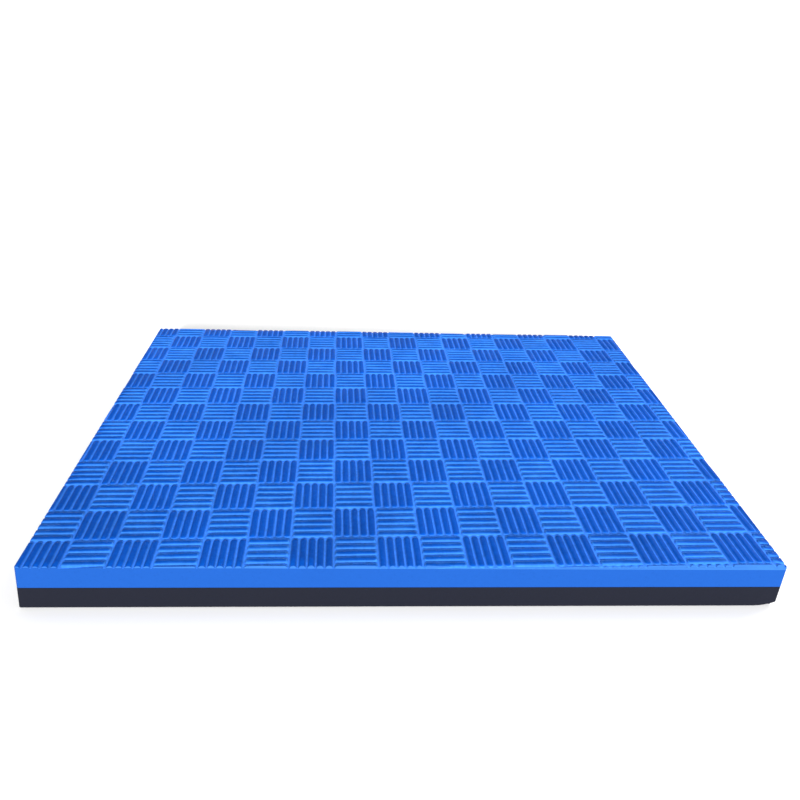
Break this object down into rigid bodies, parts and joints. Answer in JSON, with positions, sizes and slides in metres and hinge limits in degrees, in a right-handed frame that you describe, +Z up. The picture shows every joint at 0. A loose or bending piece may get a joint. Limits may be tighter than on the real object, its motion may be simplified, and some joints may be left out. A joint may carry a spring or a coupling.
{
  "type": "balance pad",
  "caption": "Firm rectangular foam balance pad for standing exercises: a blue embossed foam sheet laminated to a charcoal base sheet.",
  "frame": {"origin": "centre of the underside, on the surface that the pad lies on", "axes": "+X along the pad's long side, +Y along its short side towards the back, +Z up out of the surface that the feet stand on"},
  "size_m": [0.433, 0.312, 0.03],
  "materials": {
    "blue_foam": "matte closed-cell EVA foam, pressed with a basket weave of round-ended bars that stand up between smooth grooves",
    "hot_melt_film": "dark satin hot-melt adhesive film, only its edge showing",
    "charcoal_foam": "matte charcoal closed-cell EVA foam with cut sides and a shallow pressed weave underneath"
  },
  "bodies": {
    "root": {"top_sheet": "blue_foam", "bond_film": "hot_melt_film", "base_sheet": "charcoal_foam"}
  },
  "joints": []
}
